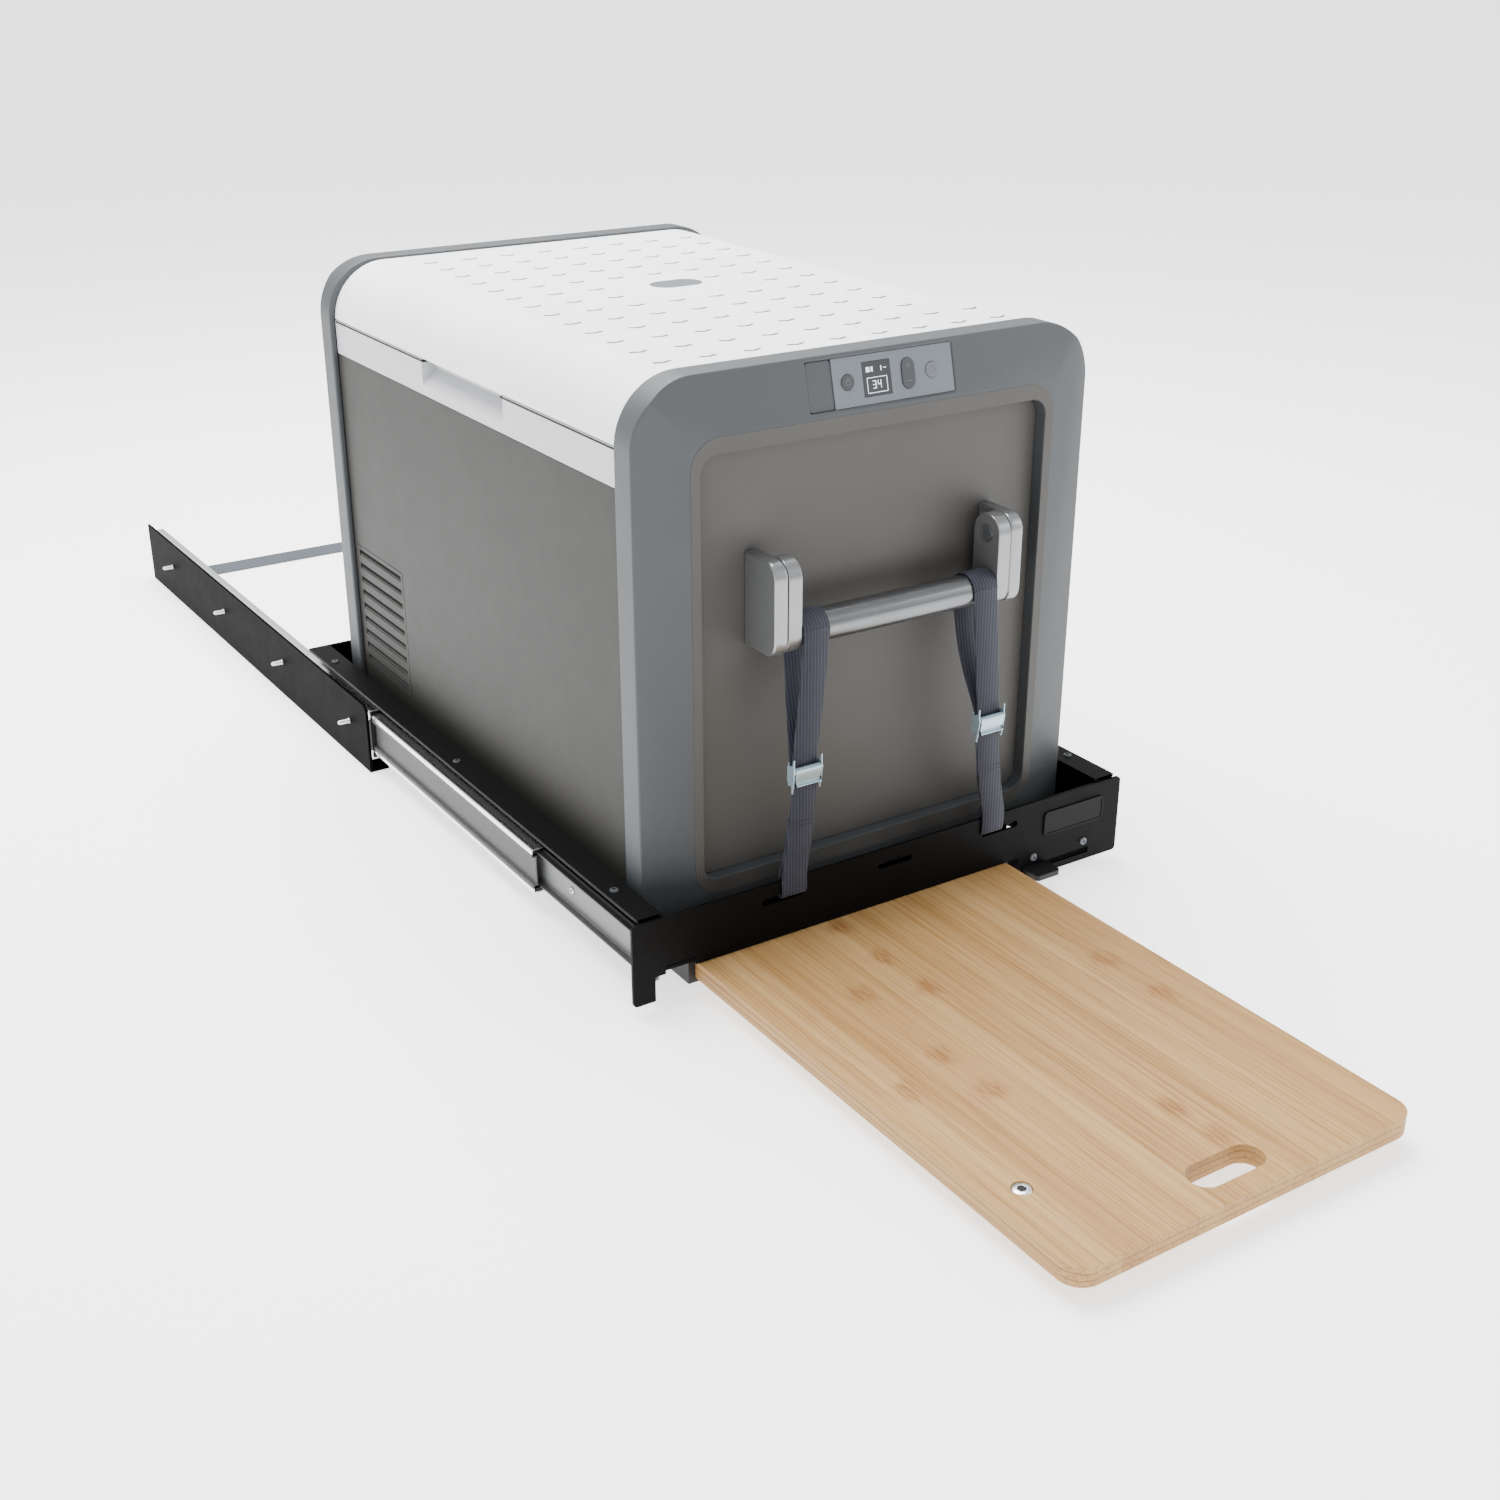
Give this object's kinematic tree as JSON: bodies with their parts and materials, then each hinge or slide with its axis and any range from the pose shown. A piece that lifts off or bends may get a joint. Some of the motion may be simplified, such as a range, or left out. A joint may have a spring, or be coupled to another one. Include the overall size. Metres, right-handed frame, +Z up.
{
  "type": "compressor cooler with slide-out tray",
  "caption": "Portable chest cooler with arched end frames, hinged lid and fold-down handles, strapped in a telescopic slide-out tray with a pull-out bamboo board.",
  "frame": {"origin": "centre of the bounding box's bottom face, on the floor, with the tray and the board pulled out", "axes": "+X to the right as the user stands in front, +Y from the board's front edge to the base's rear end, +Z up"},
  "size_m": [0.5426, 1.766, 0.5096],
  "materials": {
    "black_powder_coat": "satin fine-textured black powder coat",
    "zinc_steel": "bright zinc-plated cold-rolled steel",
    "stud_steel": "zinc-plated threaded steel",
    "pale_steel": "bright pressed buckle steel",
    "bamboo": "oiled laminated bamboo",
    "frame_plastic": "fine-grained mid grey moulding",
    "side_panel": "satin warm grey coated panel",
    "inset_panel": "fine-grained warm grey",
    "white_plastic": "satin white moulding",
    "pale_plastic": "satin light grey moulding",
    "food_white": "smooth white food-safe plastic",
    "foam": "rigid polyurethane foam",
    "control_grey": "satin light grey control plate",
    "screen": "dark display window",
    "button_dark": "satin dark button",
    "button_light": "satin grey button",
    "handle_alloy": "satin cast aluminium",
    "tube_metal": "dark brushed anodised tube",
    "webbing": "dark blue-grey polyester webbing",
    "black_plastic": "black moulded plastic",
    "black_rubber": "black rubber",
    "bare_aluminium": "plain aluminium sheet",
    "coated_wire": "coated steel wire",
    "compressor_black": "black enamelled steel can",
    "board_green": "printed circuit board"
  },
  "bodies": {
    "base": {"base_bracket_left": "black_powder_coat", "base_bracket_right": "black_powder_coat", "mounting_studs": "stud_steel", "rear_cross_strip": "black_powder_coat", "rear_stop_plates": "black_powder_coat", "outer_rail_left": "zinc_steel", "outer_rail_right": "zinc_steel"},
    "middle_rail_left": {"mid_rail_left": "zinc_steel"},
    "middle_rail_right": {"mid_rail_right": "zinc_steel"},
    "slide_lock": {"slide_lock_tab": "black_plastic"},
    "board": {"sliding_board": "bamboo", "board_stop_screw": "black_powder_coat"},
    "fan": {"fan_rotor": "black_plastic"},
    "lid": {"lid_shell": "white_plastic", "lid_inner_pan": "food_white", "lid_seal": "black_rubber"},
    "latch": {"lid_latch": "pale_plastic"},
    "button_power": {"power_button": "button_dark"},
    "button_enter": {"enter_button": "button_light"},
    "rocker": {"set_rocker": "button_dark"},
    "handle_front": {"handle_arms_front": "handle_alloy", "handle_tube_front": "tube_metal"},
    "handle_rear": {"handle_arms_rear": "handle_alloy", "handle_tube_rear": "tube_metal"},
    "cam_left": {"cam_lever_left": "pale_steel"},
    "cam_right": {"cam_lever_right": "pale_steel"},
    "tray": {"tray_pan": "black_powder_coat", "tray_front_panel": "black_powder_coat", "blank_badge": "black_powder_coat", "tray_screws": "black_powder_coat", "inner_rail_left": "zinc_steel", "inner_rail_right": "zinc_steel", "board_guide_left": "black_plastic", "board_guide_right": "black_plastic", "front_end_frame": "frame_plastic", "rear_end_frame": "frame_plastic", "front_inset_panel": "inset_panel", "rear_inset_panel": "inset_panel", "control_plate": "control_grey", "display_window": "screen", "body_shell": "side_panel", "chassis_plate": "black_powder_coat", "rubber_feet": "black_rubber", "collar_band": "pale_plastic", "vent_grilles": "side_panel", "food_tub": "food_white", "evaporator_plate": "bare_aluminium", "insulation_foam": "foam", "wire_basket": "coated_wire", "compressor": "compressor_black", "condenser": "bare_aluminium", "fan_housing": "black_plastic", "control_board": "board_green", "power_sockets": "black_plastic", "hinge_leaves": "stud_steel", "hinge_pins": "stud_steel", "handle_cheeks": "handle_alloy", "handle_pivots": "stud_steel", "tie_down_straps": "webbing", "buckle_frames": "pale_steel"}
  },
  "joints": [
    {"name": "tray_slide", "type": "slide", "parent": "base", "child": "tray", "axis": [0, 1, 0], "range_m": [0, 0.558]},
    {"name": "middle_rail_left_slide", "type": "slide", "parent": "base", "child": "middle_rail_left", "axis": [0, 1, 0], "range_m": [0, 0.3617]},
    {"name": "middle_rail_right_slide", "type": "slide", "parent": "base", "child": "middle_rail_right", "axis": [0, 1, 0], "range_m": [0, 0.3617]},
    {"name": "board_slide", "type": "slide", "parent": "tray", "child": "board", "axis": [0, 1, 0], "range_m": [0, 0.46]},
    {"name": "slide_lock_slide", "type": "slide", "parent": "tray", "child": "slide_lock", "axis": [1, 0, 0], "range_m": [0, 0.048], "stiffness_N_per_m": 60},
    {"name": "lid_hinge", "type": "hinge", "parent": "tray", "child": "lid", "pos_m": [0.2248, -0.059, 0.455], "axis": [0, 1, 0], "range_deg": [0, 90]},
    {"name": "latch_pull", "type": "hinge", "parent": "lid", "child": "latch", "pos_m": [-0.21, -0.0615, 0.4562], "axis": [0, 1, 0], "range_deg": [0, 20], "stiffness_Nm_per_rad": 0.5},
    {"name": "power_button_press", "type": "slide", "parent": "tray", "child": "button_power", "axis": [0, 0.9716, -0.2368], "range_m": [0, 0.001], "stiffness_N_per_m": 600},
    {"name": "enter_button_press", "type": "slide", "parent": "tray", "child": "button_enter", "axis": [0, 0.9716, -0.2368], "range_m": [0, 0.001], "stiffness_N_per_m": 600},
    {"name": "set_rocker_tilt", "type": "hinge", "parent": "tray", "child": "rocker", "pos_m": [0.029, -0.37465, 0.4857], "axis": [1, 0, 0], "range_deg": [-3, 3], "stiffness_Nm_per_rad": 0.5},
    {"name": "front_handle_swing", "type": "hinge", "parent": "tray", "child": "handle_front", "pos_m": [0, -0.4005, 0.3456], "axis": [-1, 0, 0], "range_deg": [0, 90], "deforming": ["tie_down_straps"]},
    {"name": "rear_handle_swing", "type": "hinge", "parent": "tray", "child": "handle_rear", "pos_m": [0, 0.2825, 0.3456], "axis": [1, 0, 0], "range_deg": [0, 90]},
    {"name": "left_cam_lever", "type": "hinge", "parent": "tray", "child": "cam_left", "pos_m": [-0.097, -0.4244, 0.184], "axis": [-1, 0, 0], "range_deg": [0, 80], "stiffness_Nm_per_rad": 0.2},
    {"name": "right_cam_lever", "type": "hinge", "parent": "tray", "child": "cam_right", "pos_m": [0.097, -0.4244, 0.184], "axis": [-1, 0, 0], "range_deg": [0, 80], "stiffness_Nm_per_rad": 0.2},
    {"name": "fan_spin", "type": "hinge", "parent": "tray", "child": "fan", "pos_m": [0.079, 0.158, 0.125], "axis": [1, 0, 0], "continuous": true}
  ],
  "couplings": [
    {"joint": "middle_rail_left_slide", "follows": "tray_slide", "ratio": 0.648},
    {"joint": "middle_rail_right_slide", "follows": "tray_slide", "ratio": 0.648}
  ]
}
